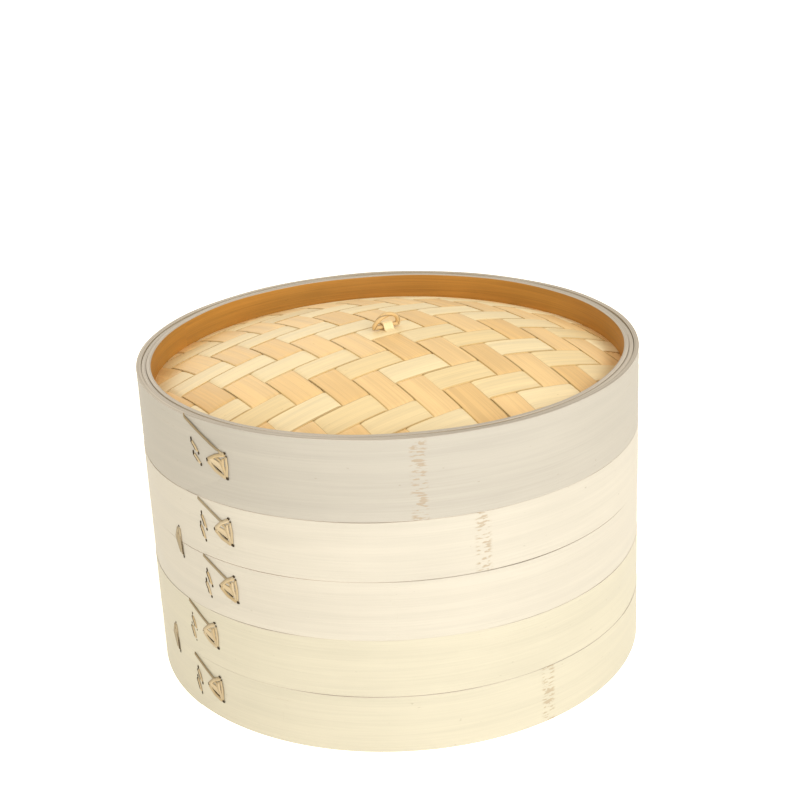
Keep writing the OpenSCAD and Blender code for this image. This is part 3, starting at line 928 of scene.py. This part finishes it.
def strips(name, node, look, mat, along_edges, own_edges, swapped):
    """One set of a woven dome's strips. Swapped is True for the set that runs along the mat's own Y."""
    az, gap, thick, over = mat["az"], mat["gap"], mat["thick"], mat["over"]
    lift = -mat["lift"] if swapped else mat["lift"]
    x_edges, y_edges = (own_edges, along_edges) if swapped else (along_edges, own_edges)
    x_reach, y_reach = (SIDE_REACH, DIVE_REACH) if swapped else (DIVE_REACH, SIDE_REACH)
    verts, faces, grain, zone, tone = [], [], [], [], []
    m = len(ACROSS)
    ring = [*range(m), *range(2 * m - 1, m - 1, -1)]
    for from_edge, to_edge in zip(own_edges, own_edges[1:]):
        low = max(from_edge + gap * rng.uniform(0.3, 0.8), -WEAVE_R + 0.5 * MM)
        high = min(to_edge - gap * rng.uniform(0.3, 0.8), WEAVE_R - 0.5 * MM)
        tint, offset = rng.random(), rng.uniform(0, 5)
        if high - low < NARROWEST_STRIP:
            continue
        v = (low + high) / 2 + (high - low) / 2 * ACROSS
        span = np.sqrt(np.maximum(WEAVE_R ** 2 - v * v, 1e-8))
        steps = max(8, int(2 * span.max() / STRIP_STEP))
        s = np.linspace(-1, 1, steps + 1)[:, None] * span[None, :]
        vv = np.broadcast_to(v[None, :], s.shape)
        x, y = (vv, s) if swapped else (s, vv)
        height = lay(x, y, x_edges, y_edges, x_reach, y_reach, over) * lift
        r = np.minimum(np.hypot(x, y), WEAVE_R)
        top = CROWN - (DOME_R - np.sqrt(DOME_R ** 2 - r * r))
        z = top - mat["depth"] + height + STRIP_CROWN * (1 - ACROSS[None, :] ** 2)
        world_x = x * math.cos(az) - y * math.sin(az)
        world_y = x * math.sin(az) + y * math.cos(az)
        start = len(verts)
        for k in range(steps + 1):
            for level in (thick / 2, -thick / 2):
                for i in range(m):
                    verts.append((world_x[k, i], world_y[k, i], z[k, i] + level))
                    grain.append((s[k, i] + offset, v[i], 0.01 if level < 0 else 0.0))
                    zone.append((1.0 if abs(ACROSS[i]) > CUT_EDGE else 0.0, 0.0, 0.0))
                    tone.append(tint)
        for k in range(steps):
            here, beyond = start + k * 2 * m, start + (k + 1) * 2 * m
            for p, q in zip(ring, ring[1:] + ring[:1]):
                quad = (here + q, here + p, beyond + p, beyond + q)
                faces.append(quad[::-1] if swapped else quad)
        first = tuple(start + p for p in ring)
        last = tuple(start + steps * 2 * m + p for p in reversed(ring))
        faces += [first[::-1], last[::-1]] if swapped else [first, last]
    make_piece(name, verts, faces, "lid", [node], look, grain, zone, tone)


def weave(label, node, looks, mat):
    """A woven dome of two sets of strips that cross at a right angle."""
    x_edges = strip_edges(mat["pitch"])
    y_edges = strip_edges(mat["pitch"])
    strips(f"{label}_rising", node, looks[0], mat, x_edges, y_edges, False)
    strips(f"{label}_falling", node, looks[1], mat, y_edges, x_edges, True)


def lid():
    """The lid's hoops, held a little inside the CAD's levels, its woven dome and its lashing."""
    hoop("lid_band_strip", "lid", "lid_band", "band", BAND_LOOKS["lid"], BAND_OUT, BAND_WALL,
         LID_LOW + 0.1 * MM, RIM_TOP, marks=LID_NODE_MARKS, **lapped_end(LID_TIP_AZ, LID_END))
    rows = (
        # name, slot, look, outer radius, wall, lowest and highest level
        ("skirt", "lining", LINING_LOOK, LINING_OUT, LINING_WALL, LID_LOW + 0.6 * MM, SKIRT_TOP - 0.5 * MM),
        # The filler and rim hoops have painted shade on their inner faces.
        ("filler", "rim", RIM_PAINTED_SHADE_LOOK, LINING_OUT, RIM_WALL, RIM_LOW + 0.2 * MM, RIM_TOP - 0.5 * MM),
        ("rim", "rim", RIM_PAINTED_SHADE_LOOK, RIM_OUT, RIM_WALL, RIM_LOW + 0.2 * MM, RIM_TOP - 0.2 * MM),
    )
    for name, slot, look, out_r, wall, low, high in rows:
        hoop(f"lid_{name}_strip", "lid", f"lid_{name}_hoop", slot, look, out_r, wall, low, high, LAP_AZ[name])
    weave("lid_weave", "lid_outer_weave", (RISING_LOOK, FALLING_LOOK), OUTER_MAT)
    weave("lid_backing", "lid_inner_weave", (BACKING_PAINTED_SHADE_LOOK, BACKING_PAINTED_SHADE_LOOK), INNER_MAT)
    band_lashing("lid_strands", "lid", "lid_lashing", LASHING_AZ, RIM_TOP, LID_LASHING)


# ---------------------------------------------------------------- handle

LOOP_SIDES = 16
ARCH_POINTS = 33
FOOT_POINTS = 12
# The twist along the strand, in radians a metre, and as fractions of the strand's radius its mean,
# its depth and the strand's half width and half height
TWIST_RATE = 650
TWIST_MEAN, TWIST_DEPTH = 0.95, 0.13
STRAND_OVAL = (0.88, 0.98)


def handle():
    """The rattan loop, a twisted strand with a straight foot."""
    path = [(LOOP_R * math.cos(a), 0.0, LOOP_R * math.sin(a)) for a in np.linspace(0, math.pi, ARCH_POINTS)]
    path += [(x, 0.0, 0.0) for x in np.linspace(-LOOP_R, LOOP_R, FOOT_POINTS + 2)[1:-1]]
    path = [Vector(p) for p in path]
    count = len(path)
    lean = Matrix.Rotation(LOOP_AZ, 3, "Z") @ Matrix.Rotation(LOOP_LEAN, 3, "X")
    out = Vector((0, 1, 0))
    travelled = 0.0
    verts, grain, zone = [], [], []
    for k, point in enumerate(path):
        before, after = path[k - 1], path[(k + 1) % count]
        across = (after - before).normalized().cross(out).normalized()
        travelled += (point - before).length
        for j in range(LOOP_SIDES):
            a = 2 * math.pi * j / LOOP_SIDES
            twist = math.sin(2 * a + travelled * TWIST_RATE)
            r = LOOP_STRAND_R * (TWIST_MEAN + TWIST_DEPTH * twist)
            half_w, half_h = STRAND_OVAL[0] * r, STRAND_OVAL[1] * r
            offset = across * (half_w * math.cos(a)) + out * (half_h * math.sin(a))
            place = lean @ (point + offset)
            verts.append((place.x, place.y, place.z + LOOP_AXIS_Z))
            grain.append((travelled, LOOP_STRAND_R * a, 0.0))
            # Darker where the twist makes a groove: painted shade.
            zone.append((max(0.0, -twist) ** 3, 0.0, 0.0))
    faces = []
    for k in range(count):
        here, beyond = k * LOOP_SIDES, (k + 1) % count * LOOP_SIDES
        for j in range(LOOP_SIDES):
            i = (j + 1) % LOOP_SIDES
            faces.append((here + j, here + i, beyond + i, beyond + j))
    make_piece("rattan_loop", verts, faces, "handle", ["handle_loop"], LOOP_LOOK, grain, zone)


KEEPER_HALF_W = 2.7 * MM
KEEPER_THICK = 0.7 * MM
KEEPER_REACH = 6.5 * MM
KEEPER_STATIONS = 45
HUMP_RISE = 3.6 * MM
HUMP_REACH = 2.6 * MM
KEEPER_BED = 0.35 * MM
TUCK_DEPTH = 0.8 * MM
TUCK_FROM = 0.6


def keeper():
    """A short strip that humps over the loop's foot and tucks into the weave."""
    turn = Matrix.Rotation(LOOP_AZ, 3, "Z")
    corners = ((-KEEPER_HALF_W, 0), (KEEPER_HALF_W, 0), (KEEPER_HALF_W, KEEPER_THICK),
               (-KEEPER_HALF_W, KEEPER_THICK))
    verts, grain = [], []
    for y in np.linspace(-KEEPER_REACH, KEEPER_REACH, KEEPER_STATIONS):
        rise = HUMP_RISE * math.exp(-((y / HUMP_REACH) ** 4))
        tuck = TUCK_DEPTH * max(0.0, abs(y) / KEEPER_REACH - TUCK_FROM) / (1 - TUCK_FROM)
        for x, up in corners:
            place = turn @ Vector((x, y, 0))
            verts.append((place.x, place.y, CROWN - tuck + rise + up - KEEPER_BED))
            grain.append((y, x, up))
    faces = [(k * 4 + i, k * 4 + (i + 1) % 4, (k + 1) * 4 + (i + 1) % 4, (k + 1) * 4 + i)
             for k in range(KEEPER_STATIONS - 1) for i in range(4)]
    faces += [(3, 2, 1, 0), tuple((KEEPER_STATIONS - 1) * 4 + i for i in range(4))]
    make_piece("loop_keeper", verts, faces, "lid", ["handle_keeper"], RISING_LOOK, grain,
               np.zeros((len(verts), 3)), smooth=False)


for tier in TIERS:
    tier_hoops(tier)
    floor_board(tier)
    batten(tier, "left", -(MID_SLOT + BRIDGE) / 2)
    batten(tier, "right", (MID_SLOT + BRIDGE) / 2)
    tier_lashings(tier)
lid()
handle()
keeper()


# ---------------------------------------------------------------- carried-over CAD nodes

def round_bamboo(name, colour):
    """Bamboo for a round CAD node, with the fibres running round the vertical axis."""
    material, tree, shader = new_material(name)
    coords = tree.nodes.new("ShaderNodeTexCoord")
    x, y, z = split_xyz(tree, coords.outputs["Object"])
    angle = calc(tree, "ARCTAN2", y, x)
    join = tree.nodes.new("ShaderNodeCombineXYZ")
    tree.links.new(calc(tree, "MULTIPLY", angle, BAND_OUT), join.inputs["X"])
    tree.links.new(z, join.inputs["Y"])
    fibres = noise(tree, join.outputs["Vector"], (22, 1500, 1), 5, 0.6, 4.0)
    streaks = noise(tree, join.outputs["Vector"], (6, 210, 1), 3, 0.5, 8.0)
    mixed = calc(tree, "MULTIPLY_ADD", streaks, 0.5, calc(tree, "MULTIPLY", fibres, 0.5))
    colour = blend_colour(tree, ramp(tree, mixed, 0.34, 0.66), shade(colour, 0.75), shade(colour, 1.1))
    tree.links.new(colour, shader.inputs["Base Color"])
    tree.links.new(ramp(tree, mixed, 0.3, 0.7, 0.5, 0.65), shader.inputs["Roughness"])
    add_bump(tree, shader, fibres, 0.2)
    return material


LEDGE_LOOK = round_bamboo("ledge_bamboo", HONEY)
for tier in TIERS:
    for material_slot in frame["nodes"][f"{tier}_ledge_hoop"].material_slots:
        material_slot.material = LEDGE_LOOK


# ---------------------------------------------------------------- stage, lights and camera

STAGE_HALF = 9.0
WARM_WHITE = (1.0, 0.94, 0.82, 1.0)
FLOOR_GLOW = 0.8
ROOM_STRENGTH = 0.8
LAMPS = (
    # name, place, target, width, watts, colour
    ("key", (1.2, -1.3, 1.5), (0, 0, 0.14), 1.0, 17, (0.98, 0.99, 1.0)),
    ("back", (-0.5, 1.7, 1.0), (0, 0, 0.1), 1.0, 4, (1.0, 0.95, 0.85)),
    ("front", (0.2, -1.7, 0.50), (0, 0, 0.14), 0.9, 12, (0.96, 0.98, 1.0)),
)
CAMERA_PLACE = (0.0, -0.7704, 0.429)
CAMERA_PITCH = math.radians(21.3)
CAMERA_YAW = math.radians(-0.39)
CAMERA_ROLL = math.radians(-2.75)
LENS_MM, SENSOR_MM = 72.0, 36.0


def stage():
    """Plain pale floor, which glows a little so that it shows no hard shadow."""
    half = STAGE_HALF
    mesh = bpy.data.meshes.new("floor")
    mesh.from_pydata([(-half, -half, 0), (half, -half, 0), (half, half, 0), (-half, half, 0)], [],
                     [(0, 1, 2, 3)])
    floor = bpy.data.objects.new("floor", mesh)
    bpy.context.scene.collection.objects.link(floor)
    material, tree, shader = new_material("floor_paper")
    coords = tree.nodes.new("ShaderNodeTexCoord")
    tone = noise(tree, coords.outputs["Object"], (3, 3, 3), 3, 0.5)
    colour = blend_colour(tree, tone, (0.90, 0.90, 0.895), (0.93, 0.93, 0.93))
    tree.links.new(colour, shader.inputs["Base Color"])
    shader.inputs["Roughness"].default_value = 0.85
    shader.inputs["Specular IOR Level"].default_value = 0.1
    shader.inputs["Emission Color"].default_value = WARM_WHITE
    shader.inputs["Emission Strength"].default_value = FLOOR_GLOW
    mesh.materials.append(material)


def area_light(name, place, target, size, power, colour):
    """One soft light, pointed at a target."""
    data = bpy.data.lights.new(name, "AREA")
    data.shape = "DISK"
    data.size = size
    data.energy = power
    data.color = colour
    light = bpy.data.objects.new(name, data)
    bpy.context.scene.collection.objects.link(light)
    light.location = place
    light.rotation_euler = (Vector(target) - Vector(place)).to_track_quat("-Z", "Y").to_euler()


def lights():
    """A bright room, a soft key from the front right, a low fill from the front and one from the back."""
    world = bpy.data.worlds.new("room")
    world.use_nodes = True
    background = world.node_tree.nodes["Background"]
    background.inputs["Color"].default_value = WARM_WHITE
    background.inputs["Strength"].default_value = ROOM_STRENGTH
    bpy.context.scene.world = world
    for lamp in LAMPS:
        area_light(*lamp)


def camera():
    """The photo's viewing angle: from the front, looking down, with a slight roll."""
    data = bpy.data.cameras.new("camera")
    data.sensor_width = SENSOR_MM
    data.lens = LENS_MM
    data.clip_start, data.clip_end = 0.01, 50
    cam = bpy.data.objects.new("camera", data)
    bpy.context.scene.collection.objects.link(cam)
    turn = Matrix.Rotation(CAMERA_YAW, 4, "Z") @ Matrix.Rotation(math.pi / 2 - CAMERA_PITCH, 4, "X")
    cam.matrix_world = Matrix.Translation(CAMERA_PLACE) @ turn @ Matrix.Rotation(CAMERA_ROLL, 4, "Z")
    bpy.context.scene.camera = cam


stage()
lights()
camera()
bpy.context.scene.view_settings.view_transform = "Standard"
